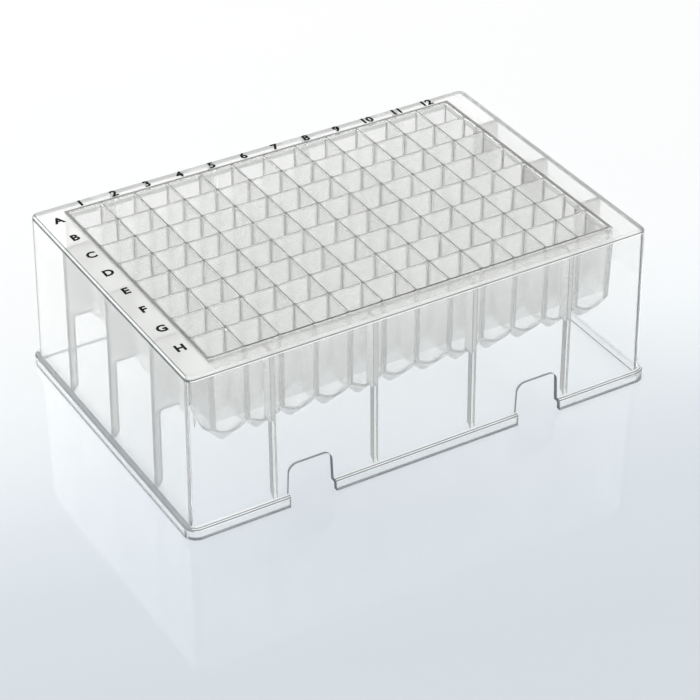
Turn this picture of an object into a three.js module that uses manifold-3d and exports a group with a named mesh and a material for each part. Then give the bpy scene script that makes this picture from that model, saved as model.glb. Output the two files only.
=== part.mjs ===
// A 96-well microplate with square wells, conical bottoms and a full skirt, moulded as one piece.
// Millimetres, +Z up. The origin is the centre of the footprint, on the surface the plate stands on.
// Columns run along +X and rows along -Y, so the first well of all is at low X and high Y.
import * as THREE from 'three';
import { mergeVertices } from 'three/addons/utils/BufferGeometryUtils.js';
import Module from 'manifold-3d';

// Well grid
const columns = 12;
const rows = 8;
const wellPitch = 9;
const firstWellFromEnd = 14.38; // well centre to the end of the footprint
const firstWellFromSide = 11.24; // well centre to the side of the footprint

// Heights above the surface the plate stands on
const deckHeight = 43.3;
const rimRise = 0.37; // the well rims stand above the deck
const flangeHeight = 3.1;

// Skirt: a thin wall that leans in a little, on a flange that steps out at its foot
const footprintCornerRadius = 3.18;
const skirtWall = 1.2;
const skirtStep = 1.3; // flange face to the foot of the skirt
const skirtLean = 0.58; // the skirt's top is this much further in than its foot
const flangeRound = 0.7;
const flangeInnerRound = 0.4;
const deckThickness = 1.3;
const deckRound = 1;

// Wells
const wellWall = 0.8; // between neighbours, at the rim
const outerWall = 1.1; // round the whole block, at the rim
const wellTaper = 0.1; // each side of a well closes in by this much from the rim down to its cone
const blockTaper = 0.3; // each side of the block closes in by this much down to its underside
const wellCornerRadius = 0.5;
const blockCornerRadius = 0.6;
const wellDepth = 24.9; // rim to the point of the cone
const coneHalfAngle = THREE.MathUtils.degToRad(45);
const undersideHalfAngle = THREE.MathUtils.degToRad(42.3); // of the cones under the wells
const undersideDrop = 1.87; // point of a well's cone down to the point the cone under it would come to
const tipThickness = 1.1; // that point is blunt, which leaves this much under the well
const tipRadius = 1.1; // where the blunt tip ends

// Ribs between the block and the skirt
const ribThickness = 1.1;
const ribWidth = 2.9; // skirt face to the edge of the strip that runs down it
const ribsAtEnds = [-2.5, 0, 2.5]; // in pitches from the middle
const ribsAtSides = [-4.5, -1.5, 1.5, 4.5];

// Grip notches in the long sides
const notchesAtSides = [-3.5, 3.5]; // in pitches from the middle
const notchHeight = 10.85;
const notchWidth = 12.4; // at the foot
const notchTopWidth = 11.4;
const notchRadius = 2.2;

// Facets
const skirtCornerSteps = 4;
const wellCornerSteps = 1;
const coneSides = 12;
const roundSteps = 3;

// Worked out from the sizes above
const halfLength = (columns - 1) / 2 * wellPitch + firstWellFromEnd;
const halfWidth = (rows - 1) / 2 * wellPitch + firstWellFromSide;
const rimHeight = deckHeight + rimRise;
const pointHeight = rimHeight - wellDepth;
const wellHalf = (wellPitch - wellWall) / 2;
const blockHalfLength = columns / 2 * wellPitch - wellWall / 2 + outerWall;
const blockHalfWidth = rows / 2 * wellPitch - wellWall / 2 + outerWall;
const coneRise = 1 / Math.tan(coneHalfAngle); // height gained for each millimetre of radius
const undersideRise = 1 / Math.tan(undersideHalfAngle);
const undersidePointHeight = pointHeight - undersideDrop;
const tipHeight = pointHeight - tipThickness;
const tipRise = (undersidePointHeight + undersideRise * tipRadius - tipHeight) / tipRadius;
const blockFootHeight = undersidePointHeight + undersideRise * (wellHalf + outerWall); // middle of a block face
const overlap = 0.4; // joined solids run this far into each other
const beyond = 1; // cuts run this far past the surface they open
const weldDistance = 1e-4; // corners closer than this are one corner

const wasm = await Module();
wasm.setup();

// A closed geometry as a solid for joining and cutting.
function solid(geometry) {
  const bare = geometry.clone();
  bare.deleteAttribute('normal');
  bare.deleteAttribute('uv');
  const merged = mergeVertices(bare, weldDistance);
  const corners = merged.index.array;
  const triangles = [];
  for (let i = 0; i < corners.length; i += 3) {
    const [a, b, c] = corners.slice(i, i + 3);
    if (a !== b && b !== c && c !== a) triangles.push(a, b, c); // poles and welds leave empty ones
  }
  return new wasm.Manifold(new wasm.Mesh({
    numProp: 3,
    vertProperties: new Float32Array(merged.attributes.position.array),
    triVerts: new Uint32Array(triangles),
  }));
}

function geometryOf(body) {
  const mesh = body.getMesh();
  const geometry = new THREE.BufferGeometry();
  geometry.setAttribute('position', new THREE.BufferAttribute(mesh.vertProperties, 3));
  geometry.setIndex(new THREE.BufferAttribute(mesh.triVerts, 1));
  return geometry;
}

// The corners of a rounded rectangle at one height, anticlockwise from above.
function roundedRing({ halfX, halfY, radius, z }, cornerSteps) {
  const ring = [];
  for (let corner = 0; corner < 4; corner++) {
    const towardsX = corner === 0 || corner === 3 ? 1 : -1;
    const towardsY = corner < 2 ? 1 : -1;
    for (let step = 0; step <= cornerSteps; step++) {
      const angle = (corner + step / cornerSteps) * Math.PI / 2;
      ring.push([
        towardsX * (halfX - radius) + radius * Math.cos(angle),
        towardsY * (halfY - radius) + radius * Math.sin(angle),
        z,
      ]);
    }
  }
  return ring;
}

// A closed body through rounded rectangles, listed from the lowest to the highest.
function loft(sections, cornerSteps) {
  const rings = sections.map((section) => roundedRing(section, cornerSteps));
  const count = rings[0].length;
  const index = [];
  for (let level = 0; level < rings.length - 1; level++) {
    for (let i = 0; i < count; i++) {
      const a = level * count + i;
      const b = level * count + (i + 1) % count;
      index.push(a, b, b + count, a, b + count, a + count);
    }
  }
  const top = (rings.length - 1) * count;
  for (let i = 1; i < count - 1; i++) {
    index.push(0, i + 1, i);
    index.push(top, top + i, top + i + 1);
  }
  const geometry = new THREE.BufferGeometry();
  geometry.setAttribute('position', new THREE.Float32BufferAttribute(rings.flat(2), 3));
  geometry.setIndex(index);
  return geometry;
}

// The footprint drawn in by an inset, at a height.
function footprintSection(inset, z) {
  return {
    halfX: halfLength - inset,
    halfY: halfWidth - inset,
    radius: footprintCornerRadius - inset,
    z,
  };
}

// The skirt's outside at a height, drawn in by an inset. Its corners keep their radius as it leans in.
function skirtSection(inset, z) {
  const lean = skirtLean * (z - flangeHeight) / (deckHeight - flangeHeight);
  const section = footprintSection(skirtStep + inset, z);
  section.halfX -= lean;
  section.halfY -= lean;
  section.radius = Math.max(section.radius, 0.3);
  return section;
}

// A quarter round from upright to level: how far in and how far up each step is.
function quarterRound(radius) {
  return Array.from({ length: roundSteps }, (_, step) => {
    const angle = (step + 1) / roundSteps * Math.PI / 2;
    return [radius * (1 - Math.cos(angle)), radius * Math.sin(angle)];
  });
}

// Flange, skirt and deck as one solid shape, and the hollow that leaves them a thin wall.
function outerShape() {
  const roundStart = flangeHeight - flangeRound;
  const deckRoundStart = deckHeight - deckRound;
  return loft([
    footprintSection(0, 0),
    footprintSection(0, roundStart),
    ...quarterRound(flangeRound).map(([inset, rise]) => footprintSection(inset, roundStart + rise)),
    skirtSection(0, flangeHeight),
    skirtSection(0, deckRoundStart),
    ...quarterRound(deckRound).map(([inset, rise]) => skirtSection(inset, deckRoundStart + rise)),
  ], skirtCornerSteps);
}

function innerShape() {
  const shoulder = flangeHeight - skirtWall;
  const roundStart = shoulder - flangeInnerRound;
  return loft([
    footprintSection(skirtWall, -beyond),
    footprintSection(skirtWall, roundStart),
    ...quarterRound(flangeInnerRound).map(([inset, rise]) => footprintSection(skirtWall + inset, roundStart + rise)),
    skirtSection(skirtWall, shoulder),
    skirtSection(skirtWall, deckHeight - deckThickness),
  ], skirtCornerSteps);
}

const wellCentres = [];
for (let column = 0; column < columns; column++) {
  for (let row = 0; row < rows; row++) {
    wellCentres.push([(column - (columns - 1) / 2) * wellPitch, (row - (rows - 1) / 2) * wellPitch]);
  }
}

// One copy of a shape at each well, joined.
function atEachWell(geometry) {
  const copies = wellCentres.map(([x, y]) => solid(geometry.clone().translate(x, y, 0)));
  return copies.reduce((all, one) => all.add(one));
}

// A cone standing on its point, with everything above it. It is wide enough to meet its neighbours.
function uprightCone(z, rise) {
  const reach = wellPitch;
  const points = [
    [0, z],
    [reach, z + rise * reach],
    [reach, rimHeight + 2 * beyond],
    [0, rimHeight + 2 * beyond],
  ].map(([radius, height]) => new THREE.Vector2(radius, height));
  const halfSide = Math.PI / coneSides; // turns the sides so that edges run to the corners of a square
  return new THREE.LatheGeometry(points, coneSides).rotateX(Math.PI / 2).rotateZ(halfSide);
}

// The wells: tapered square shafts that end where cones cut across them.
function wells() {
  const squareEnd = pointHeight + coneRise * wellHalf;
  const taper = (z) => wellTaper * (rimHeight - z) / (rimHeight - squareEnd);
  const levels = [pointHeight, rimHeight + beyond];
  const shaft = loft(levels.map((z) => ({
    halfX: wellHalf - taper(z),
    halfY: wellHalf - taper(z),
    radius: wellCornerRadius,
    z,
  })), wellCornerSteps);
  const cone = uprightCone(pointHeight, coneRise);
  return atEachWell(shaft).intersect(atEachWell(cone));
}

// The block before its wells are cut: straight sides, and an underside of blunt cones that meet in valleys.
function wellBlock() {
  const taper = (z) => blockTaper * (rimHeight - z) / (rimHeight - blockFootHeight);
  const sides = loft([tipHeight - beyond, rimHeight].map((z) => ({
    halfX: blockHalfLength - taper(z),
    halfY: blockHalfWidth - taper(z),
    radius: blockCornerRadius,
    z,
  })), wellCornerSteps);
  const cones = atEachWell(uprightCone(undersidePointHeight, undersideRise));
  const tips = atEachWell(uprightCone(tipHeight, tipRise));
  return solid(sides).intersect(cones).intersect(tips);
}

// A rib for the +X side: a web from the block to the skirt, and a strip that runs on down the skirt.
function ribShape(blockHalf, skirtHalf) {
  const shoulder = flangeHeight - skirtWall;
  const skirtFace = (z) => skirtHalf - skirtStep - skirtLean * (z - flangeHeight) / (deckHeight - flangeHeight);
  const webEnd = blockFootHeight + wellWall;
  const stripStart = shoulder + ribWidth - skirtWall;
  const deckMiddle = deckHeight - deckThickness / 2;
  const blockFace = blockHalf - blockTaper - overlap;
  const profile = new THREE.Shape([
    [skirtFace(shoulder) - skirtWall + overlap, shoulder - overlap],
    [skirtFace(deckMiddle) - skirtWall + overlap, deckMiddle],
    [blockFace, deckMiddle],
    [blockFace, webEnd],
    [skirtFace(webEnd) - ribWidth, webEnd],
    [skirtFace(stripStart) - ribWidth, stripStart],
  ].map(([x, z]) => new THREE.Vector2(x, z)));
  const rib = new THREE.ExtrudeGeometry(profile, { depth: ribThickness, bevelEnabled: false });
  return rib.translate(0, 0, -ribThickness / 2).rotateX(Math.PI / 2);
}

function ribs() {
  const endRib = ribShape(blockHalfLength, halfLength);
  const sideRib = ribShape(blockHalfWidth, halfWidth);
  const placed = [];
  for (const turn of [0, Math.PI]) {
    for (const pitches of ribsAtEnds) {
      placed.push(endRib.clone().translate(0, pitches * wellPitch, 0).rotateZ(turn));
    }
    for (const pitches of ribsAtSides) {
      placed.push(sideRib.clone().rotateZ(Math.PI / 2).translate(pitches * wellPitch, 0, 0).rotateZ(turn));
    }
  }
  return placed;
}

// The outline of a grip notch, open at the foot, cut straight through a long side.
function notchShape() {
  const foot = notchWidth / 2;
  const head = notchTopWidth / 2;
  const outline = new THREE.Shape();
  outline.moveTo(-foot, -beyond);
  outline.lineTo(foot, -beyond);
  outline.lineTo(head, notchHeight - notchRadius);
  outline.absarc(head - notchRadius, notchHeight - notchRadius, notchRadius, 0, Math.PI / 2);
  outline.absarc(notchRadius - head, notchHeight - notchRadius, notchRadius, Math.PI / 2, Math.PI);
  outline.closePath();
  const depth = skirtStep + skirtWall + ribWidth;
  const cut = new THREE.ExtrudeGeometry(outline, { depth, bevelEnabled: false, curveSegments: roundSteps });
  return cut.rotateX(Math.PI / 2).translate(0, depth / 2 - halfWidth + skirtStep, 0);
}

function notches() {
  const cut = notchShape();
  return notchesAtSides.flatMap((pitches) => [
    cut.clone().translate(pitches * wellPitch, 0, 0),
    cut.clone().translate(pitches * wellPitch, 0, 0).rotateZ(Math.PI),
  ]);
}

function plateBody() {
  let body = solid(outerShape()).subtract(solid(innerShape()));
  body = body.add(wellBlock());
  for (const rib of ribs()) body = body.add(solid(rib));
  for (const notch of notches()) body = body.subtract(solid(notch));
  return body.subtract(wells());
}

const plate = new THREE.Group();
const polypropylene = new THREE.MeshStandardMaterial({
  color: 0xe4e9ea,
  roughness: 0.35,
  metalness: 0,
  transparent: true,
  opacity: 0.5,
});
const wellPlate = new THREE.Mesh(geometryOf(solid(geometryOf(plateBody()))), polypropylene);
wellPlate.name = 'well_plate';
plate.add(wellPlate);

export default plate;
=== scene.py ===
import math

import bmesh
import bpy
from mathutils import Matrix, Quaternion, Vector


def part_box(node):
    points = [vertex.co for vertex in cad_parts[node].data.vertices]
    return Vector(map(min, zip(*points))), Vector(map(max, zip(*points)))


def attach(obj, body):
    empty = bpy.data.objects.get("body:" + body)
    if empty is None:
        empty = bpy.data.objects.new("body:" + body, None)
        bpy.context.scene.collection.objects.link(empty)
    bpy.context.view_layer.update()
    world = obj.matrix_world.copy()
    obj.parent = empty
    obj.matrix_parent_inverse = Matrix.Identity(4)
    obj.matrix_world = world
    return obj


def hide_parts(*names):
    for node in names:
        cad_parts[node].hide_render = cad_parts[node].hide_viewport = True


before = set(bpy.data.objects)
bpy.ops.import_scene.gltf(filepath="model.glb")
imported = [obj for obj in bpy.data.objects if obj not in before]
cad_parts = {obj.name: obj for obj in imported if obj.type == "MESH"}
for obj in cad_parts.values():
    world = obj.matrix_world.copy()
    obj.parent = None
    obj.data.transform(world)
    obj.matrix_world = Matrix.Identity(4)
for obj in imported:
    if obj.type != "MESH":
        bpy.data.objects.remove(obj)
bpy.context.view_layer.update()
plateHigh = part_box("well_plate")[1]
mm = 0.001
hair = 0.0001 * mm  # points nearer than this to a cut lie on it
past = 1  # how far cuts run beyond what they cut, in mm
slack = 0.01  # how near, in mm, counts as there
straight = 0.99  # of a unit normal that looks along an axis
print("frame loaded")


def hexColor(code):
    # sRGB hex to the linear values that shaders take
    values = [int(code[i : i + 2], 16) / 255 for i in (1, 3, 5)]
    return [v / 12.92 if v <= 0.04045 else ((v + 0.055) / 1.055) ** 2.4 for v in values] + [1.0]


def addNode(tree, kind, settings=None, **links):
    # settings are attributes or sockets' values, and links feed sockets: in7 is socket number 7
    node = tree.nodes.new(kind)
    sockets = {f"in{place}": socket for place, socket in enumerate(node.inputs)}
    for name, value in (settings or {}).items():
        if name in sockets:
            sockets[name].default_value = value
        elif name in node.inputs:
            node.inputs[name].default_value = value
        else:
            setattr(node, name, value)
    for name, source in links.items():
        tree.links.new(source, sockets[name] if name in sockets else node.inputs[name.replace("_", " ")])
    return node


def newMaterial(name):
    material = bpy.data.materials.new(name)
    material.use_nodes = True
    material.node_tree.nodes.clear()
    return material


# Small modelling helpers


def nothingSelected():
    for thing in bpy.context.selected_objects:
        thing.select_set(False)


def active(piece):
    nothingSelected()
    piece.select_set(True)
    bpy.context.view_layer.objects.active = piece
    return piece


def started(name):
    # the primitive that was just added, with its place put into its mesh
    piece = bpy.context.object
    piece.name = name
    active(piece)
    bpy.ops.object.transform_apply(location=True, rotation=True, scale=True)
    return piece


def box(name, low, high):
    nothingSelected()
    middle = [(a + b) / 2 * mm for a, b in zip(low, high)]
    bpy.ops.mesh.primitive_cube_add(size=1, location=middle)
    bpy.context.object.scale = [(b - a) * mm for a, b in zip(low, high)]
    return started(name)


def pick(piece, mode, test):
    # in edit mode, selects the vertices, edges or faces whose middle, in mm, passes the test
    active(piece)
    if bpy.context.mode != "EDIT_MESH":
        bpy.ops.object.mode_set(mode="EDIT")
    bpy.ops.mesh.select_mode(type=mode)
    bpy.ops.mesh.select_all(action="DESELECT")
    shape = bmesh.from_edit_mesh(piece.data)
    if mode == "VERT":
        chosen = [v for v in shape.verts if test(v.co / mm)]
    elif mode == "EDGE":
        chosen = [e for e in shape.edges if test(*(v.co / mm for v in e.verts))]
    else:
        chosen = [f for f in shape.faces if test(f.calc_center_median() / mm, f.normal)]
    for element in chosen:
        element.select = True
    shape.select_flush_mode()
    bmesh.update_edit_mesh(piece.data)


def upright(a, b):
    return abs(a.z - b.z) > slack


def edgesFrom(height):
    # the edges that lie at a height or above it
    return lambda a, b: min(a.z, b.z) > height - slack


def facingUp(centre, normal):
    return normal.z > straight


def everything(*parts):
    return True


def done(piece):
    bpy.ops.object.mode_set(mode="OBJECT")
    return piece


def lift(height):
    bpy.ops.mesh.extrude_region_move(TRANSFORM_OT_translate={"value": (0, 0, height * mm)})


def grow(shareX, shareY, shareZ=1, centre=(0, 0, 0)):
    place = [c * mm for c in centre]
    bpy.ops.transform.resize(value=(shareX, shareY, shareZ), center_override=place)


def roundOff(radius, segments):
    bpy.ops.mesh.bevel(offset=radius * mm, segments=segments, affect="EDGES", offset_type="OFFSET")


def cutAway(place, direction):
    # removes what lies past a plane
    bpy.ops.mesh.select_all(action="SELECT")
    bpy.ops.mesh.bisect(
        plane_co=[p * mm for p in place], plane_no=direction, clear_outer=True, threshold=hair
    )


def score(place, direction):
    # adds edges along a plane and removes nothing
    bpy.ops.mesh.select_all(action="SELECT")
    bpy.ops.mesh.bisect(plane_co=[p * mm for p in place], plane_no=direction, threshold=hair)


def copyOf(piece, name, shift=(0, 0, 0), turn=0):
    other = piece.copy()
    other.data = piece.data.copy()
    other.name = name
    bpy.context.scene.collection.objects.link(other)
    other.location = [s * mm for s in shift]
    other.rotation_euler = (0, 0, turn)
    active(other)
    bpy.ops.object.transform_apply(location=True, rotation=True, scale=True)
    return other


def joined(pieces, name):
    nothingSelected()
    for piece in pieces:
        piece.select_set(True)
    bpy.context.view_layer.objects.active = pieces[0]
    bpy.ops.object.join()
    pieces[0].name = name
    return pieces[0]


def combine(piece, other, operation):
    # joins, cuts or intersects with another closed piece, which is then used up
    active(piece)
    step = piece.modifiers.new(operation, "BOOLEAN")
    step.operation = operation
    step.solver = "MANIFOLD"
    step.object = other
    bpy.ops.object.modifier_apply(modifier=step.name)
    bpy.data.objects.remove(other, do_unlink=True)
    return piece


# Well grid, from the frame

grid = {
    "columns": 12,
    "rows": 8,
    "pitch": 9.0,
}
halfLength = plateHigh.x / mm
halfWidth = plateHigh.y / mm
rimHeight = plateHigh.z / mm


def columnX(column):
    return (column - (grid["columns"] - 1) / 2) * grid["pitch"]


def rowY(row):
    # row 0 is the back one
    return ((grid["rows"] - 1) / 2 - row) * grid["pitch"]


# Skirt: flange, leaning wall and deck, hollow from below

skirt = {
    "deckHeight": 43.3,
    "flangeHeight": 3.1,
    "cornerRadius": 3.18,
    "cornerSteps": 8,
    "innerCornerRadius": 0.7,
    "step": 1.3,
    "lean": 0.58,
    "wall": 1.2,
    "deck": 1.3,
    "flangeRound": 0.7,
    "flangeRoundSteps": 4,
    "shoulderRound": 0.4,
    "deckRound": 1.0,
    "deckRoundSteps": 6,
    "footLine": 0.3,
    "backStrip": 4.7,
    "ceilingRound": 0.4,
    "insideSteps": 3,
    "besideBlock": 0.05,
}


def makeSkirt():
    s = skirt
    shell = box("skirt", (-halfLength, -halfWidth, 0), (halfLength, halfWidth, s["footLine"]))
    pick(shell, "EDGE", upright)
    roundOff(s["cornerRadius"], s["cornerSteps"])
    pick(shell, "FACE", facingUp)
    lift(s["flangeHeight"] - s["footLine"])
    # flange top
    pick(shell, "EDGE", edgesFrom(s["flangeHeight"]))
    roundOff(s["flangeRound"], s["flangeRoundSteps"])
    pick(shell, "FACE", facingUp)
    bpy.ops.mesh.inset(thickness=(s["step"] - s["flangeRound"]) * mm)
    # leaning wall up to the deck
    lift(s["deckHeight"] - s["flangeHeight"])
    footX, footY = halfLength - s["step"], halfWidth - s["step"]
    grow((footX - s["lean"]) / footX, (footY - s["lean"]) / footY)
    pick(shell, "EDGE", edgesFrom(s["deckHeight"]))
    roundOff(s["deckRound"], s["deckRoundSteps"])
    # the deck's strip along the back wall, and its two ends, set apart for their finishes; the back strip
    # and right end get painted shade
    score((0, halfWidth - s["backStrip"], 0), (0, 1, 0))
    for side in (-1, 1):
        score((side * (blockHalfX + s["besideBlock"]), 0, 0), (1, 0, 0))
    return done(shell)


def makeHollow():
    s = skirt
    shoulder = s["flangeHeight"] - s["wall"]
    ceiling = s["deckHeight"] - s["deck"]
    outX, outY = halfLength - s["wall"], halfWidth - s["wall"]
    wide = box("hollow", (-outX, -outY, -past), (outX, outY, shoulder))
    pick(wide, "EDGE", upright)
    roundOff(s["cornerRadius"] - s["wall"], 2 * s["insideSteps"])
    pick(wide, "EDGE", edgesFrom(shoulder))
    roundOff(s["shoulderRound"], s["insideSteps"])
    score((0, 0, s["footLine"]), (0, 0, 1))
    done(wide)
    lean = s["lean"] * (ceiling - s["flangeHeight"]) / (s["deckHeight"] - s["flangeHeight"])
    inX, inY = outX - s["step"], outY - s["step"]
    tall = box("hollow", (-inX, -inY, -past), (inX, inY, ceiling))
    pick(tall, "EDGE", upright)
    roundOff(s["innerCornerRadius"], s["cornerSteps"])
    pick(tall, "FACE", facingUp)
    grow((inX - lean) / inX, (inY - lean) / inY)
    pick(tall, "EDGE", edgesFrom(ceiling))
    roundOff(s["ceilingRound"], s["insideSteps"])
    return combine(done(tall), wide, "UNION")


# Well block: a cone under each well, and straight sides up from where the cones end

block = {
    "outerWall": 1.1,
    "wellWall": 0.8,
    "sideTaper": 0.3,
    "coneSides": 48,
    "conePoint": 16.9,
    "coneRise": 1.1,
    "noseHeight": 17.67,
    "footLine": 0.3,
    "clearBelow": 26.5,
    "rimLine": 0.38,
    "wallShowsThrough": 0.3,
    "mergeWithin": 0.002,
}
wellHalf = (grid["pitch"] - block["wellWall"]) / 2
blockHalfX = grid["columns"] / 2 * grid["pitch"] - block["wellWall"] / 2 + block["outerWall"]
blockHalfY = grid["rows"] / 2 * grid["pitch"] - block["wellWall"] / 2 + block["outerWall"]


def makeFloorCone():
    # the lowest part of a ball carries on as a cone
    b = block
    slope = math.hypot(1, b["coneRise"])
    radius = (b["noseHeight"] - b["conePoint"]) / (slope - 1)
    tangent = radius * b["coneRise"] / slope
    nothingSelected()
    centre = b["noseHeight"] + radius
    bpy.ops.mesh.primitive_uv_sphere_add(
        segments=b["coneSides"],
        ring_count=b["coneSides"] // 2,
        radius=radius * mm,
        location=(0, 0, centre * mm),
    )
    cone = started("floorCone")
    tangentHeight = b["conePoint"] + b["coneRise"] * tangent
    pick(cone, "FACE", everything)
    cutAway((0, 0, tangentHeight), (0, 0, 1))
    pick(cone, "EDGE", edgesFrom(tangentHeight))
    reach = grid["pitch"]
    lift(b["coneRise"] * (reach - tangent))
    grow(reach / tangent, reach / tangent)
    return done(cone)


def cutToCell(cone, sideX, sideY):
    # an outer cell runs on under the block's outer wall
    margin = block["outerWall"] - block["wellWall"] / 2 - block["sideTaper"]
    half = grid["pitch"] / 2
    cell = copyOf(cone, "cell")
    pick(cell, "FACE", everything)
    for axis, side in ((Vector((1, 0, 0)), sideX), (Vector((0, 1, 0)), sideY)):
        for way in (-1, 1):
            place = axis * way * (half + (margin if side == way else 0))
            cutAway(place, axis * way)
    return done(cell)


def makeBlock():
    b = block
    cone = makeFloorCone()
    kinds = {(x, y): cutToCell(cone, x, y) for x in (-1, 0, 1) for y in (-1, 0, 1)}
    bpy.data.objects.remove(cone, do_unlink=True)
    cells = []
    for column in range(grid["columns"]):
        for row in range(grid["rows"]):
            sideX = -1 if column == 0 else 1 if column == grid["columns"] - 1 else 0
            sideY = 1 if row == 0 else -1 if row == grid["rows"] - 1 else 0
            cells.append(copyOf(kinds[sideX, sideY], "cell", (columnX(column), rowY(row), 0)))
    for kind in kinds.values():
        bpy.data.objects.remove(kind, do_unlink=True)
    body = joined(cells, "wellBlock")
    pick(body, "VERT", everything)
    bpy.ops.mesh.remove_doubles(threshold=b["mergeWithin"] * mm)
    # straight sides up from the edge of the underside
    bpy.ops.mesh.select_all(action="DESELECT")
    bpy.ops.mesh.select_mode(type="EDGE")
    bpy.ops.mesh.select_non_manifold(
        extend=False,
        use_wire=False,
        use_boundary=True,
        use_multi_face=False,
        use_non_contiguous=False,
        use_verts=False,
    )
    lift(b["footLine"])
    lift(rimHeight)
    grow(1, 1, 0, (0, 0, rimHeight))
    footX, footY = blockHalfX - b["sideTaper"], blockHalfY - b["sideTaper"]
    grow(blockHalfX / footX, blockHalfY / footY)
    bpy.ops.mesh.edge_face_add()
    # edges either side of each wall that meets the outside, which bound its painted shade band
    for axis, count in (((1, 0, 0), grid["columns"]), ((0, 1, 0), grid["rows"])):
        for wall in range(1, count):
            for side in (-1, 1):
                place = (wall - count / 2) * grid["pitch"] + side * b["wallShowsThrough"]
                score([place * part for part in axis], axis)
    score((0, 0, b["clearBelow"]), (0, 0, 1))
    # the front rim's inner edge, between its painted dark inner part and its painted highlight outside
    score((0, b["rimLine"] - blockHalfY, 0), (0, 1, 0))
    pick(body, "FACE", everything)
    bpy.ops.mesh.normals_make_consistent(inside=False)
    return done(body)


# Wells: tapered shafts that end in a cone

well = {
    "taper": 0.12,
    "cornerRadius": 0.5,
    "cornerSteps": 5,
    "pointHeight": 18.77,
    "rimRound": 0.37,
    "rimSteps": 4,
    "coneSides": 48,
    "coneReach": 30,
}


def makeWell():
    w = well
    footHeight = w["pointHeight"] - past
    flareHeight = rimHeight - w["rimRound"]
    footHalf = wellHalf - w["taper"]
    shaft = box("well", (-footHalf, -footHalf, footHeight), (footHalf, footHalf, flareHeight))
    pick(shaft, "EDGE", upright)
    roundOff(w["cornerRadius"], w["cornerSteps"])
    pick(shaft, "FACE", facingUp)
    grow(wellHalf / footHalf, wellHalf / footHalf)
    score((0, 0, skirt["deckHeight"] - skirt["deck"]), (0, 0, 1))
    pick(shaft, "FACE", facingUp)
    # the rim opens in a quarter round
    half, height, steps = wellHalf, flareHeight, w["rimSteps"]
    for step in range(1, steps + 1):
        angle = step / steps * math.pi / 2
        nextHalf = wellHalf + w["rimRound"] * (1 - math.cos(angle))
        nextHeight = flareHeight + w["rimRound"] * math.sin(angle)
        lift(nextHeight - height)
        grow(nextHalf / half, nextHalf / half)
        half, height = nextHalf, nextHeight
    lift(past)
    done(shaft)
    nothingSelected()
    reach = w["coneReach"]
    bpy.ops.mesh.primitive_cone_add(
        vertices=w["coneSides"],
        radius1=0,
        radius2=reach * mm,
        depth=reach * mm,
        location=(0, 0, (w["pointHeight"] + reach / 2) * mm),
    )
    return combine(shaft, started("wellCone"), "INTERSECT")


def makeWells():
    one = makeWell()
    copies = [
        copyOf(one, "well", (columnX(column), rowY(row), 0))
        for column in range(grid["columns"])
        for row in range(grid["rows"])
    ]
    bpy.data.objects.remove(one, do_unlink=True)
    return joined(copies, "wells")


# Ribs between block and skirt

rib = {
    "thickness": 1.1,
    "width": 2.9,
    "webFoot": 23.6,
    "fillet": 0.4,
    "filletSteps": 4,
    "bite": 0.4,
    "footBite": 0.3,
    "outline": 0.25,
    "wallOutline": 0.35,
    "alongEnds": (-2.5, 0, 2.5),
    "alongSides": (-4.5, -1.5, 1.5, 4.5),
}


def skirtFace(half, z):
    # how far out the leaning outer face is at a height
    s = skirt
    return half - s["step"] - s["lean"] * (z - s["flangeHeight"]) / (s["deckHeight"] - s["flangeHeight"])


def ribFoot():
    return skirt["flangeHeight"] - 2 * skirt["wall"] + rib["width"]


def makeRib(blockHalf, skirtHalf, strip=True):
    # stands towards +X: a web to the block, and a strip down the skirt with a slanted end
    r, s = rib, skirt
    shoulder = s["flangeHeight"] - s["wall"]
    top = s["deckHeight"] - s["deck"] / 2

    def faceAt(z):
        return skirtFace(skirtHalf, z)

    half = r["thickness"] / 2
    inWall = s["wall"] - r["bite"]
    stripEdge = faceAt(r["webFoot"]) - r["width"]
    piece = box("rib", (stripEdge, -half, r["webFoot"]), (faceAt(top) - inWall, half, top))
    # the web reaches in to the block
    pick(piece, "FACE", lambda c, n: n.x < -straight)
    reach = stripEdge - (blockHalf - block["sideTaper"] - r["bite"])
    bpy.ops.mesh.extrude_region_move(TRANSFORM_OT_translate={"value": (-reach * mm, 0, 0)})
    if not strip:
        return done(piece)
    # the strip runs down, and its edge follows the skirt
    foot = ribFoot()
    edge = faceAt(foot) - r["width"]
    pick(piece, "FACE", lambda c, n: n.z < -straight and c.x > stripEdge)
    lift(foot - r["webFoot"])
    bpy.ops.transform.translate(value=((faceAt(foot) - faceAt(r["webFoot"])) * mm, 0, 0))
    pick(piece, "FACE", lambda c, n: n.z < -straight and c.z < foot + past)
    lift(shoulder - r["footBite"] - foot)
    pick(piece, "VERT", lambda v: v.z < shoulder and v.x < edge + r["width"] / 2)
    drop = faceAt(shoulder) - s["wall"] + r["footBite"] - edge
    bpy.ops.transform.translate(value=(drop * mm, 0, 0))
    # fillet where the web meets the strip
    corner = Vector((stripEdge, 0, r["webFoot"]))
    pick(piece, "EDGE", lambda a, b: all((v.xz - corner.xz).length < slack for v in (a, b)))
    roundOff(r["fillet"], r["filletSteps"])
    # narrow faces beside every free edge and along the wall, to carry painted dark outlines
    slope = s["lean"] / (s["deckHeight"] - s["flangeHeight"])
    score((edge + r["outline"], 0, foot), (1, 0, slope))
    score((faceAt(foot) - s["wall"] - r["wallOutline"], 0, foot), (1, 0, slope))
    score((0, 0, r["webFoot"] + r["outline"]), (0, 0, 1))
    score((edge + r["outline"] * math.sqrt(2), 0, foot), (1, 0, 1))
    return done(piece)


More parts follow.
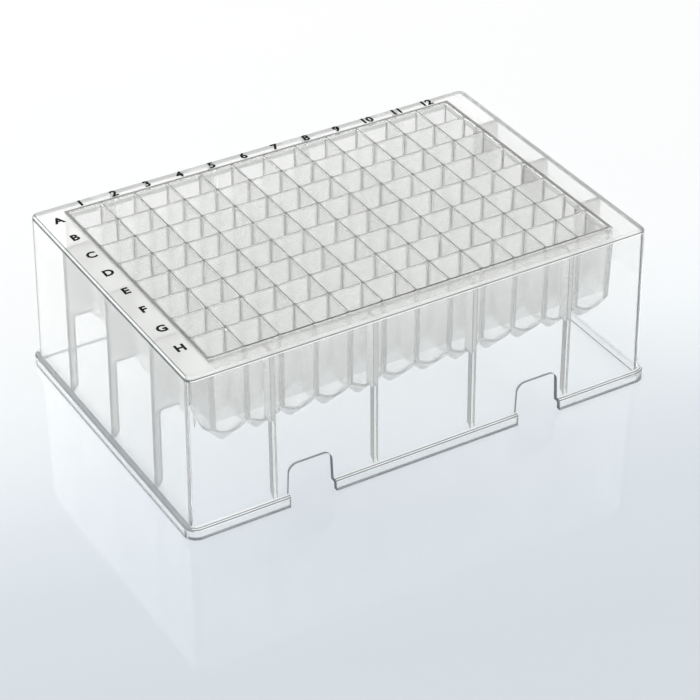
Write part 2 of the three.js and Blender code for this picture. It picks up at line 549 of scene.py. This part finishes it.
def makeRibs():
    # the end by column 12 has webs without strips
    farRib = makeRib(blockHalfX, halfLength, strip=False)
    nearRib = makeRib(blockHalfX, halfLength)
    sideRib = makeRib(blockHalfY, halfWidth)
    pieces = []
    for turn, endRib in ((0, farRib), (math.pi, nearRib)):
        for place in rib["alongEnds"]:
            pieces.append(copyOf(endRib, "rib", (0, place * grid["pitch"], 0), turn))
        for place in rib["alongSides"]:
            pieces.append(copyOf(sideRib, "rib", (place * grid["pitch"], 0, 0), turn + math.pi / 2))
    for one in (farRib, nearRib, sideRib):
        bpy.data.objects.remove(one, do_unlink=True)
    return joined(pieces, "ribs")


# Grip notches

notch = {
    "along": (-3.5, 3.5),
    "height": 10.85,
    "width": 12.4,
    "topWidth": 11.4,
    "radius": 2.2,
    "cornerSteps": 6,
    "depth": 6,
}


def makeNotches():
    n = notch
    half = n["width"] / 2
    outer = halfWidth + past
    one = box("notch", (-half, outer - n["depth"], -past), (half, outer, n["height"]))
    pick(one, "FACE", facingUp)
    grow(n["topWidth"] / n["width"], 1)
    pick(one, "EDGE", lambda a, b: edgesFrom(n["height"])(a, b) and abs(a.x - b.x) < slack)
    roundOff(n["radius"], n["cornerSteps"])
    done(one)
    cuts = []
    for turn in (0, math.pi):
        for place in n["along"]:
            cuts.append(copyOf(one, "notch", (place * grid["pitch"], 0, 0), turn))
    bpy.data.objects.remove(one, do_unlink=True)
    return joined(cuts, "notches")


plate = combine(makeSkirt(), makeHollow(), "DIFFERENCE")
print("skirt made", len(plate.data.polygons))
combine(plate, makeRibs(), "UNION")
print("ribs joined", len(plate.data.polygons))
combine(plate, makeNotches(), "DIFFERENCE")
print("notches cut", len(plate.data.polygons))
combine(plate, makeBlock(), "UNION")
print("block joined", len(plate.data.polygons))
combine(plate, makeWells(), "DIFFERENCE")
print("wells cut", len(plate.data.polygons))
plate.name = "moulded_plate"


# Finish: natural polypropylene, injection moulded. The skirt comes off polished steel and is
# nearly clear. The wells come off a finely blasted core, so they are frosted and milky. Thick
# clear edges look dark, and narrow faces along them carry that as painted shade.

polypropylene = {
    "tint": "#FFFFFF",
    "tintGrain": "#FEFEFE",
    "milk": "#FFFFFD",
    "milkGrain": "#C0C2C1",
    # dark tones painted as shade along edges and on darkened faces
    "edgeShade": "#414D54",
    "frostEdgeShade": "#4F4C45",
    "absorbs": "#A4A7A8",
    "absorbDensity": 1.0,
    "ior": 1.49,
    "clearRoughness": 0.04,
    "frostRoughness": 0.22,
    "milkRoughness": 0.4,
    "turnsFrom": 0.62,
    "throughShare": 0.6,
    "shadowTint": "#F2F2F2",
    "grain": 0.35,
    "grainDepth": 0.01,
    "grainStrength": 0.2,
    "speckleFrom": 0.42,
    "speckleTo": 0.58,
    "smoothAngle": 35,
}

# frost, share of milk and darkness of the line, which is painted shade
finishes = {
    # rims and wells: the dark lines on rims and well corners and the darker walls before the deck are
    # painted shade; rimEdgeLit and frontRimTop are painted light
    "rimTop": (1.0, 0.9, 0.7),
    "frontRimTop": (1.0, 0.9, 0.0),
    "frontRimLine": (1.0, 0.9, 1.0),
    "frontRimRound": (1.0, 0.85, 1.0),
    "rimEdge": (1.0, 0.85, 0.95),
    "rimEdgeLit": (1.0, 0.85, 0.0),
    "rimRound": (0.5, 0.2, 0.0),
    "wellCorner": (1.0, 0.85, 0.75),
    "deckThroughWell": (0.5, 0.75, 0.4),
    "outerWell": (0.5, 0.08, 0.0),
    "well": (1.0, 0.2, 0.0),
    # outside of the block and its points; wallBehind, blockSide, blockFootLine and pointRing are painted
    # shade
    "wallBehind": (1.0, 0.5, 0.4),
    "blockSide": (1.0, 0.3, 0.4),
    "blockFoot": (0.6, 0.08, 0.0),
    "blockFootLine": (1.0, 0.85, 0.5),
    "pointRing": (0.5, 0.85, 0.9),
    "underside": (0.1, 0.08, 0.0),
    # ribs, down to the strips they end in: their darker faces, edges and outlines are painted shade
    "endWeb": (1.0, 0.5, 0.65),
    "endStrip": (1.0, 0.5, 0.85),
    "endRibEdge": (0.5, 0.5, 0.95),
    "endRibLine": (0.5, 0.85, 0.95),
    "sideWeb": (1.0, 0.5, 0.0),
    "sideStrip": (1.0, 0.5, 0.55),
    "sideRibEdge": (0.5, 0.5, 0.0),
    "sideRibLine": (0.5, 0.85, 0.85),
    # deck: the dark lines along its round and its grey back and right strips are painted shade
    "deckEdge": (0.0, 0.85, 0.95),
    "deckEdgeLit": (0.0, 0.85, 0.0),
    "deckEdgeBack": (0.0, 0.85, 0.8),
    "deckEdgeRight": (0.0, 0.85, 0.65),
    "deckRoundFront": (0.0, 0.5, 0.15),
    "deckBack": (0.0, 0.5, 0.12),
    "deckRight": (0.0, 0.35, 0.12),
    "deckLeft": (0.0, 0.5, 0.0),
    "deckFront": (0.0, 0.25, 0.0),
    # skirt and flange: skirtCorner, leftWall, notchCut, footLine, flangeLine and flangeFace are painted
    # shade
    "skirt": (0.0, 0.03, 0.0),
    "skirtCorner": (0.0, 0.6, 0.45),
    "leftWall": (0.0, 0.3, 0.2),
    "notchCut": (0.0, 0.85, 0.95),
    "footLine": (0.0, 0.85, 0.95),
    "flangeShade": (0.0, 0.75, 0.8),
    "flangeLine": (0.0, 0.75, 0.95),
    "flangeTop": (0.0, 0.75, 0.0),
    "flangeFace": (0.0, 0.2, 0.3),
}

# which faces get them: lengths in mm, the rest parts of a face's unit normal
sorting = {
    "near": 0.05,
    "topLayer": 0.1,
    "frontRim": 1.2,
    "blockSkin": 0.5,
    "wellBehindSide": 0.2,
    "farFromMiddle": 30,
    "cornersAbove": 24,
    "sideWebFoot": 20,
    "edgeBand": 5,
    "wallBand": 3,
    "besideNotch": 0.3,
    "flat": 0.999,
    "almostFlat": 0.97,
    "square": 0.9,
    "halfTurned": 0.5,
    "under": 0.3,
    "slant": 0.1,
    "tilt": 0.05,
    "cornerTurned": 0.65,
    "outerCornerTurned": 0.15,
    "ringLow": -0.88,
    "ringHigh": -0.74,
    "deckRoundEnds": 0.96,
    "backLineFrom": 0.75,
    "rightLineFrom": 0.55,
    "frontLineFrom": 0.3,
    "sideLineFrom": 0.85,
    "flangeFacets": ((0.5, 0.7), (0.9, 0.99)),
}


def onRib(x, y, z):
    # in the space between block and skirt, within a rib's thickness
    near = sorting["near"]
    reach = rib["thickness"] / 2 + near
    inset = skirt["wall"] + near
    if abs(x) > skirtFace(halfLength, z) - inset or abs(y) > skirtFace(halfWidth, z) - inset:
        return False
    pitch = grid["pitch"]
    atEnd = abs(x) > blockHalfX + near and any(abs(y - at * pitch) < reach for at in rib["alongEnds"])
    atSide = abs(y) > blockHalfY + near and any(abs(x - at * pitch) < reach for at in rib["alongSides"])
    return atEnd or atSide


def onOutline(out, edge, z):
    # beside a free edge of a rib, or along the skirt, where a painted dark outline goes
    line = rib["outline"]
    fromFree = out - (edge - rib["width"])
    if edge - skirt["wall"] - out < rib["wallOutline"]:
        return True
    if z > rib["webFoot"]:
        return z < rib["webFoot"] + line and fromFree < line
    return fromFree < line or fromFree + z - ribFoot() < line * math.sqrt(2)


def inNotch(x, y):
    fromMiddles = [abs(abs(x) - abs(at * grid["pitch"])) for at in notch["along"]]
    reach = notch["width"] / 2 + sorting["besideNotch"]
    return min(fromMiddles) < reach and abs(y) > halfWidth - sorting["edgeBand"]


# painted shade: dark lines on the rim tops, the front rim and the rim edges facing -x or +y; the other rim
# edges and the front rim's outer top are milky white, painted light
def rimFinish(y, z, n):
    q = sorting
    front = y < q["frontRim"] - blockHalfY
    onTop = z > rimHeight - q["topLayer"]
    if onTop and n.z > q["flat"]:
        if not front:
            return "rimTop"
        return "frontRimLine" if y > block["rimLine"] - blockHalfY else "frontRimTop"
    if front and n.y > q["slant"] and n.z > q["halfTurned"]:
        return "frontRimRound"
    if onTop and n.z > q["almostFlat"]:
        return "rimEdge" if n.x < -q["tilt"] or n.y > q["tilt"] else "rimEdgeLit"
    return "rimRound" if n.z > q["slant"] else None


def blockFootFinish(x, y, z, n):
    # the cones end in arches along the block's sides, with a painted dark line along them
    half = grid["pitch"] / 2
    across = (x if abs(n.y) > sorting["square"] else y) % grid["pitch"] - half
    side = half - block["wellWall"] / 2 + block["outerWall"] - block["sideTaper"]
    arch = block["conePoint"] + block["coneRise"] * math.hypot(side, across)
    return "blockFootLine" if z < arch + block["footLine"] else "blockFoot"


def blockFinish(x, y, z, n):
    q = sorting
    if z > rimHeight - well["rimRound"] and rimFinish(y, z, n):
        return rimFinish(y, z, n)
    # painted shade: dark lines down the wells' upright corners
    cornerTurned = min(abs(n.x), abs(n.y)) > q["cornerTurned"]
    if z > q["cornersAbove"] and abs(n.z) < q["tilt"] and cornerTurned:
        return "wellCorner"
    standing = abs(n.z) < q["slant"]
    fromSide = max(abs(x) - blockHalfX, abs(y) - blockHalfY)
    # the outermost walls of the wells, which look inwards
    onOuterWell = (
        standing
        and fromSide > -block["outerWall"] - q["wellBehindSide"]
        and x * n.x + y * n.y < -q["farFromMiddle"]
    )
    # painted shade: the outer wells' walls are darker where the deck stands behind them
    if z > skirt["deckHeight"] - skirt["deck"] and onOuterWell:
        return "deckThroughWell"
    outside = fromSide > -q["blockSkin"]
    half = grid["pitch"] / 2
    # painted shade: dark bands on the block's outside where a well wall stands behind
    fromWall = abs(((y if abs(n.x) > q["square"] else x) + half) % grid["pitch"] - half)
    if outside and standing and fromWall < block["wallShowsThrough"]:
        return "wallBehind"
    if n.z < -q["under"]:
        # a ring low on each point, where clear plastic turns away, painted dark as shade
        return "pointRing" if q["ringLow"] < n.z < q["ringHigh"] else "underside"
    if outside and standing and z < block["clearBelow"]:
        return blockFootFinish(x, y, z, n)
    # painted shade: the block's outside is greyed with the dark tone
    if outside:
        return "blockSide"
    # at the back and right they have one thickness to shine through
    return "outerWell" if onOuterWell and min(n.x, n.y) < -q["square"] else "well"


# painted shade: the end ribs are darkened, most on their edges and outlines; the side ribs on their strips
# and outlines
def ribFinish(x, y, z, n):
    q = sorting
    atEnd = abs(x) > blockHalfX
    end = "end" if atEnd else "side"
    along, out, edge = (n.x, abs(x), halfLength) if atEnd else (n.y, abs(y), halfWidth)
    if abs(n.z) > q["under"] or abs(along) > q["halfTurned"]:
        return end + "RibEdge"
    if onOutline(out, skirtFace(edge, z), z):
        return end + "RibLine"
    webFoot = rib["webFoot"] if atEnd else q["sideWebFoot"]
    return end + ("Strip" if z < webFoot else "Web")


# painted shade: dark lines on some facets of the deck's round, and light grey on its front facets
def deckRoundFinish(n):
    q = sorting
    if n.y > q["slant"]:
        return "deckEdgeBack" if n.z > q["backLineFrom"] else "skirt"
    if n.x > q["slant"]:
        return "deckEdgeRight" if n.z > q["rightLineFrom"] else "skirt"
    if n.z < q["halfTurned"]:
        return "deckEdge" if n.z > q["frontLineFrom"] or n.x < -q["halfTurned"] else "deckEdgeLit"
    if n.y < -q["slant"]:
        return "deckRoundFront"
    return "deckEdge" if n.z > q["sideLineFrom"] else "deckEdgeLit"


# painted shade: the deck's back strip and right end are greyed a little
def deckFinish(x, y):
    if y > halfWidth - skirt["backStrip"]:
        return "deckBack"
    if x > blockHalfX:
        return "deckRight"
    return "deckLeft" if x < -blockHalfX else "deckFront"


def flangeFinish(x, y, z, n):
    q, s = sorting, skirt
    standing = abs(n.z) < q["slant"]
    # painted shade: a dark line round the foot of the flange
    if z < s["footLine"] and standing:
        return "footLine"
    if z < s["flangeHeight"] - s["wall"] and n.x < -q["halfTurned"] and x > halfLength - q["wallBand"]:
        return "flangeShade"
    if z < s["flangeHeight"] + q["topLayer"] and n.z > q["slant"]:
        if x < s["step"] - halfLength:
            return "flangeShade"
        if y < s["step"] - halfWidth:
            # painted shade: dark along two facets of its round at the front
            dark = any(low < n.z < high for low, high in q["flangeFacets"])
            return "flangeLine" if dark else "flangeTop"
    # painted shade: the flange's outer faces are greyed
    fromFoot = max(abs(x) - halfLength, abs(y) - halfWidth)
    return "flangeFace" if z < s["flangeHeight"] and standing and fromFoot > -q["topLayer"] else None


def skirtFinish(x, y, z, n):
    q, s = sorting, skirt
    if z > s["deckHeight"] - s["deckRound"] and q["slant"] < n.z < q["deckRoundEnds"]:
        return deckRoundFinish(n)
    if z > s["deckHeight"] - q["near"] and n.z > q["square"]:
        return deckFinish(x, y)
    if flangeFinish(x, y, z, n):
        return flangeFinish(x, y, z, n)
    above = z > s["flangeHeight"]
    fromFoot = max(abs(x) - halfLength, abs(y) - halfWidth)
    onFace = fromFoot > -s["step"] - s["lean"] - q["topLayer"] and abs(n.z) < q["slant"]
    # painted shade: dark bands on the two skirt corners whose normals lean to -x and +y, or +x and -y
    if above and onFace and n.x * n.y < -q["outerCornerTurned"]:
        return "skirtCorner"
    # painted shade: dark outlines round the grip notches
    if q["topLayer"] < z < notch["height"] + q["topLayer"] and abs(x) < halfLength - q["edgeBand"]:
        if (abs(n.x) > q["square"] or n.z < -q["under"]) and inNotch(x, y):
            return "notchCut"
    # painted shade: the skirt's left wall is greyed
    return "leftWall" if above and x < q["wallBand"] - halfLength and n.x < -q["square"] else "skirt"


def finishAt(centre, n):
    x, y, z = centre
    if abs(x) < blockHalfX + sorting["near"] and abs(y) < blockHalfY + sorting["near"]:
        return blockFinish(x, y, z, n)
    return ribFinish(x, y, z, n) if onRib(x, y, z) else skirtFinish(x, y, z, n)


def markFinish(piece):
    # line is the painted shade: how much dark tone each face gets
    layers = [piece.data.attributes.new(name, "FLOAT", "FACE") for name in ("frost", "milk", "line")]
    values = [finishes[finishAt(face.center / mm, face.normal)] for face in piece.data.polygons]
    for place, layer in enumerate(layers):
        layer.data.foreach_set("value", [value[place] for value in values])


def makePolypropylene():
    p = polypropylene
    material = newMaterial("naturalPolypropylene")
    tree = material.node_tree
    out = addNode(tree, "ShaderNodeOutputMaterial")
    place = addNode(tree, "ShaderNodeTexCoord").outputs["Object"]
    frost, share, line = [
        addNode(tree, "ShaderNodeAttribute", {"attribute_name": name}).outputs["Fac"]
        for name in ("frost", "milk", "line")
    ]
    grain = addNode(
        tree,
        "ShaderNodeTexNoise",
        {"Scale": 1 / (p["grain"] * mm), "Detail": 2.0, "Roughness": 0.6},
        Vector=place,
    ).outputs[0]
    speckle = addNode(
        tree, "ShaderNodeMapRange", {"From Min": p["speckleFrom"], "From Max": p["speckleTo"]}, Value=grain
    ).outputs[0]
    rough = addNode(tree, "ShaderNodeMath", {"operation": "MULTIPLY"}, in0=frost, in1=grain)
    bump = addNode(
        tree,
        "ShaderNodeBump",
        {"Strength": p["grainStrength"], "Distance": p["grainDepth"] * mm},
        Height=rough.outputs[0],
    )
    # each colour is plain where it is clear and speckled where it is frosted
    color = {name: hexColor(value) for name, value in p.items() if str(value).startswith("#")}
    tint = addNode(
        tree,
        "ShaderNodeMix",
        {"data_type": "RGBA", "in6": color["tintGrain"], "in7": color["tint"]},
        in0=speckle,
    ).outputs[2]
    tint = addNode(
        tree, "ShaderNodeMix", {"data_type": "RGBA", "in6": color["tint"]}, in0=frost, in7=tint
    ).outputs[2]
    roughness = addNode(
        tree,
        "ShaderNodeMapRange",
        {"To Min": p["clearRoughness"], "To Max": p["frostRoughness"]},
        Value=frost,
    )
    clear = addNode(
        tree,
        "ShaderNodeBsdfPrincipled",
        {"IOR": p["ior"], "Transmission Weight": 1.0},
        Base_Color=tint,
        Roughness=roughness.outputs[0],
    )
    # seen nearly edge-on, a frosted wall is a longer way through; this is painted shade, the dark tone mixed
    # in as the face turns away
    turned = addNode(tree, "ShaderNodeLayerWeight", {"Blend": 0.5}).outputs["Facing"]
    turned = addNode(tree, "ShaderNodeMapRange", {"From Min": p["turnsFrom"]}, Value=turned).outputs[0]
    turned = addNode(tree, "ShaderNodeMath", {"operation": "MULTIPLY"}, in0=frost, in1=turned).outputs[0]
    line = addNode(tree, "ShaderNodeMath", {"operation": "MAXIMUM"}, in0=line, in1=turned).outputs[0]
    share = addNode(tree, "ShaderNodeMath", {"operation": "MAXIMUM"}, in0=share, in1=turned).outputs[0]
    tone = addNode(
        tree,
        "ShaderNodeMix",
        {"data_type": "RGBA", "in6": color["milkGrain"], "in7": color["milk"]},
        in0=speckle,
    ).outputs[2]
    tone = addNode(
        tree, "ShaderNodeMix", {"data_type": "RGBA", "in6": color["milk"]}, in0=frost, in7=tone
    ).outputs[2]
    # painted shade: the line attribute mixes these dark tones into the colour
    dark = addNode(
        tree,
        "ShaderNodeMix",
        {"data_type": "RGBA", "in6": color["edgeShade"], "in7": color["frostEdgeShade"]},
        in0=frost,
    ).outputs[2]
    tone = addNode(tree, "ShaderNodeMix", {"data_type": "RGBA"}, in0=line, in6=tone, in7=dark).outputs[2]
    surface = addNode(
        tree,
        "ShaderNodeBsdfPrincipled",
        {"Roughness": p["milkRoughness"], "IOR": p["ior"]},
        Base_Color=tone,
    )
    through = addNode(tree, "ShaderNodeBsdfTranslucent", Color=tone)
    milk = addNode(tree, "ShaderNodeMixShader", in1=surface.outputs[0], in2=through.outputs[0])
    milk.inputs[0].default_value = p["throughShare"]
    body = addNode(tree, "ShaderNodeMixShader", in0=share, in1=clear.outputs[0], in2=milk.outputs[0])
    for node in (clear, surface, through):
        tree.links.new(bump.outputs[0], node.inputs["Normal"])
    # lamps shine through, as they do through a thin wall
    lamps = addNode(tree, "ShaderNodeLightPath")
    letThrough = addNode(tree, "ShaderNodeBsdfTransparent", {"Color": color["shadowTint"]})
    whole = addNode(
        tree,
        "ShaderNodeMixShader",
        in0=lamps.outputs["Is Shadow Ray"],
        in1=body.outputs[0],
        in2=letThrough.outputs[0],
    )
    tree.links.new(whole.outputs[0], out.inputs["Surface"])
    dim = addNode(
        tree,
        "ShaderNodeVolumeAbsorption",
        {"Color": color["absorbs"], "Density": p["absorbDensity"]},
    )
    tree.links.new(dim.outputs[0], out.inputs["Volume"])
    return material


plate.data.materials.clear()
plate.data.materials.append(makePolypropylene())
markFinish(plate)
active(plate)
bpy.ops.object.shade_smooth_by_angle(angle=math.radians(polypropylene["smoothAngle"]))
weigh = plate.modifiers.new("weighted", "WEIGHTED_NORMAL")
weigh.keep_sharp = True
bpy.ops.object.modifier_apply(modifier=weigh.name)
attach(plate, "root")
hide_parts("well_plate")
print("plate finished")


# Print: black pad-printed ink on the deck, matt and opaque

lettering = {
    "letterHeight": 2.6,
    "digitHeight": 2.55,
    "capShare": 0.73,
    "lettersX": -57.4,
    "letterShift": 2.5,
    "digitsY": 38.75,
    "digitShift": 0.15,
    "thick": 0.01,
    "middleAbove": 0.008,
    "bold": 0.045,
    "curveSteps": 4,
    "ink": "#08090A",
    "thinInk": "#121416",
    "patch": 0.25,
    "roughness": 0.7,
    "gloss": 0.05,
}


def makeMark(text, height, x, y):
    nothingSelected()
    bpy.ops.object.text_add()
    mark = bpy.context.object
    mark.name = "mark"
    mark.data.body = text
    mark.data.align_x = "CENTER"
    mark.data.align_y = "CENTER"
    # a metre stands for a millimetre until the outline is a mesh
    mark.data.size = height / lettering["capShare"]
    mark.data.offset = lettering["bold"] * mark.data.size
    mark.data.extrude = lettering["thick"] / 2
    mark.data.resolution_u = lettering["curveSteps"]  # more of them leave some digits unfilled
    active(mark)
    bpy.ops.object.convert(target="MESH")
    mark = bpy.context.object
    mark.scale = (mm, mm, mm)
    mark.location = (x * mm, y * mm, (skirt["deckHeight"] + lettering["middleAbove"]) * mm)
    bpy.ops.object.transform_apply(location=True, rotation=True, scale=True)
    return mark


def makeInk():
    material = newMaterial("blackPadInk")
    tree = material.node_tree
    out = addNode(tree, "ShaderNodeOutputMaterial")
    place = addNode(tree, "ShaderNodeTexCoord").outputs["Object"]
    patches = addNode(
        tree, "ShaderNodeTexNoise", {"Scale": 1 / (lettering["patch"] * mm), "Detail": 2.0}, Vector=place
    )
    tone = addNode(
        tree,
        "ShaderNodeMix",
        {"data_type": "RGBA", "in6": hexColor(lettering["ink"]), "in7": hexColor(lettering["thinInk"])},
        in0=patches.outputs[0],
    ).outputs[2]
    surface = addNode(
        tree,
        "ShaderNodeBsdfPrincipled",
        {"Roughness": lettering["roughness"], "Specular IOR Level": lettering["gloss"]},
        Base_Color=tone,
    )
    tree.links.new(surface.outputs[0], out.inputs["Surface"])
    return material


letters = [
    makeMark(letter, lettering["letterHeight"], lettering["lettersX"], rowY(row) + lettering["letterShift"])
    for row, letter in enumerate("ABCDEFGH")
]
digits = [
    makeMark(
        str(column + 1),
        lettering["digitHeight"],
        columnX(column) + lettering["digitShift"],
        lettering["digitsY"],
    )
    for column in range(grid["columns"])
]
ink = makeInk()
for name, marks in (("row_letters", letters), ("column_numbers", digits)):
    piece = joined(marks, name)
    piece.data.materials.clear()
    piece.data.materials.append(ink)
    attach(piece, "root")
print("print made")


# Floor, light and camera

# painted light: the floor's tones go from white at the back to blue-grey at the front, and it partly glows
# in them
floorTones = {
    "direction": (0.259, 0.966),
    "stops": (
        (-105, "#D5DCE2"),
        (-68, "#D9E1E7"),
        (-43, "#E2E8EE"),
        (-18, "#EEF3F7"),
        (7, "#F7FBFD"),
        (45, "#FCFDFE"),
        (180, "#FEFEFE"),
    ),
    "gloss": 0.06,
    "ior": 1.49,
    "glow": 0.8,
    "level": 0.88,
    "size": 4.0,
    "below": 0.05,
}


def makeFloor():
    nothingSelected()
    bpy.ops.mesh.primitive_plane_add(size=floorTones["size"], location=(0, 0, -floorTones["below"] * mm))
    floor = started("floor")
    material = newMaterial("glossyAcrylicFloor")
    tree = material.node_tree
    out = addNode(tree, "ShaderNodeOutputMaterial")
    place = addNode(tree, "ShaderNodeTexCoord").outputs["Object"]
    way = addNode(tree, "ShaderNodeVectorMath", {"operation": "DOT_PRODUCT"}, in0=place)
    way.inputs[1].default_value = (*floorTones["direction"], 0)
    low, high = floorTones["stops"][0][0], floorTones["stops"][-1][0]
    share = addNode(
        tree, "ShaderNodeMapRange", {"From Min": low * mm, "From Max": high * mm}, Value=way.outputs["Value"]
    )
    ramp = addNode(tree, "ShaderNodeValToRGB", in0=share.outputs[0])
    for i, (at, code) in enumerate(floorTones["stops"]):
        where = (at - low) / (high - low)
        stop = ramp.color_ramp.elements[i] if i < 2 else ramp.color_ramp.elements.new(where)
        stop.position = where
        stop.color = hexColor(code)
    lit = addNode(tree, "ShaderNodeBsdfDiffuse", Color=ramp.outputs[0])
    glow = addNode(tree, "ShaderNodeEmission", {"Strength": floorTones["level"]}, Color=ramp.outputs[0])
    path = addNode(tree, "ShaderNodeLightPath")
    # seen straight, in gloss or through the plastic, the floor shows mostly its painted tones, glowing
    seen = path.outputs["Is Camera Ray"]
    for ray in ("Is Glossy Ray", "Is Transmission Ray"):
        seen = addNode(
            tree, "ShaderNodeMath", {"operation": "MAXIMUM"}, in0=seen, in1=path.outputs[ray]
        ).outputs[0]
    part = addNode(tree, "ShaderNodeMath", {"operation": "MULTIPLY"}, in0=seen)
    part.inputs[1].default_value = floorTones["glow"]
    base = addNode(
        tree, "ShaderNodeMixShader", in0=part.outputs[0], in1=lit.outputs[0], in2=glow.outputs[0]
    )
    sheen = addNode(tree, "ShaderNodeBsdfGlossy", {"Roughness": floorTones["gloss"]})
    edge = addNode(tree, "ShaderNodeFresnel", {"IOR": floorTones["ior"]})
    whole = addNode(
        tree, "ShaderNodeMixShader", in0=edge.outputs[0], in1=base.outputs[0], in2=sheen.outputs[0]
    )
    tree.links.new(whole.outputs[0], out.inputs["Surface"])
    floor.data.materials.append(material)


studio = {
    "sky": "#F1F3F1",
    "horizon": "#8B8C8A",
    "backdrop": "#FCFDFE",
    "seen": "#FEFEFE",
    "skyFrom": 0.6,
    "backdropFrom": -0.1,
    "backdropTo": 0.5,
    # name, place, size and power
    "lamps": (
        ("back", (-0.35, 0.75, 0.8), 0.8, 10.5),
        ("front", (0.5, -0.7, 0.9), 0.6, 4.5),
    ),
}


def makeStudio():
    world = bpy.data.worlds.new("studio")
    bpy.context.scene.world = world
    world.use_nodes = True
    tree = world.node_tree
    tree.nodes.clear()
    out = addNode(tree, "ShaderNodeOutputWorld")
    way = addNode(tree, "ShaderNodeTexCoord").outputs["Generated"]
    parts = addNode(tree, "ShaderNodeSeparateXYZ", Vector=way)
    smooth = {"interpolation_type": "SMOOTHSTEP"}
    rise = addNode(
        tree, "ShaderNodeMapRange", {"From Max": studio["skyFrom"], **smooth}, Value=parts.outputs["Z"]
    )
    behind = addNode(
        tree,
        "ShaderNodeMapRange",
        {"From Min": studio["backdropFrom"], "From Max": studio["backdropTo"], **smooth},
        Value=parts.outputs["Y"],
    )
    room = addNode(
        tree,
        "ShaderNodeMix",
        {"data_type": "RGBA", "in6": hexColor(studio["horizon"]), "in7": hexColor(studio["sky"])},
        in0=rise.outputs[0],
    ).outputs[2]
    tone = addNode(
        tree,
        "ShaderNodeMix",
        {"data_type": "RGBA", "in7": hexColor(studio["backdrop"])},
        in0=behind.outputs[0],
        in6=room,
    ).outputs[2]
    light = addNode(tree, "ShaderNodeBackground", Color=tone)
    white = addNode(tree, "ShaderNodeBackground", {"Color": hexColor(studio["seen"]), "Strength": 1.0})
    path = addNode(tree, "ShaderNodeLightPath")
    whole = addNode(
        tree,
        "ShaderNodeMixShader",
        in0=path.outputs["Is Camera Ray"],
        in1=light.outputs[0],
        in2=white.outputs[0],
    )
    tree.links.new(whole.outputs[0], out.inputs["Surface"])
    for name, place, size, power in studio["lamps"]:
        lamp = bpy.data.lights.new(name, "AREA")
        lamp.size = size
        lamp.energy = power
        holder = bpy.data.objects.new(name, lamp)
        bpy.context.scene.collection.objects.link(holder)
        holder.location = place
        holder.rotation_euler = (-Vector(place)).to_track_quat("-Z", "Y").to_euler()


view = {
    "from": (-0.25706, -0.43724, 0.35181),
    "to": (0.007041, 0.00574, 0.0),
    "roll": 0.07,
    "lens": 127.19,
    "sensor": 36.0,
}


def makeCamera():
    camera = bpy.data.cameras.new("camera")
    camera.lens = view["lens"]
    camera.sensor_width = view["sensor"]
    holder = bpy.data.objects.new("camera", camera)
    bpy.context.scene.collection.objects.link(holder)
    holder.location = view["from"]
    ahead = (Vector(view["to"]) - Vector(view["from"])).to_track_quat("-Z", "Y")
    holder.rotation_mode = "QUATERNION"
    holder.rotation_quaternion = ahead @ Quaternion((0, 0, 1), math.radians(view["roll"]))
    bpy.context.scene.camera = holder


makeFloor()
makeStudio()
makeCamera()
scene = bpy.context.scene
scene.view_settings.view_transform = "Standard"
# light meets many thin walls on its way through the plate
bounces = 32
scene.cycles.max_bounces = bounces
scene.cycles.transmission_bounces = bounces
scene.cycles.transparent_max_bounces = bounces
scene.cycles.glossy_bounces = bounces // 4
print("stage made")
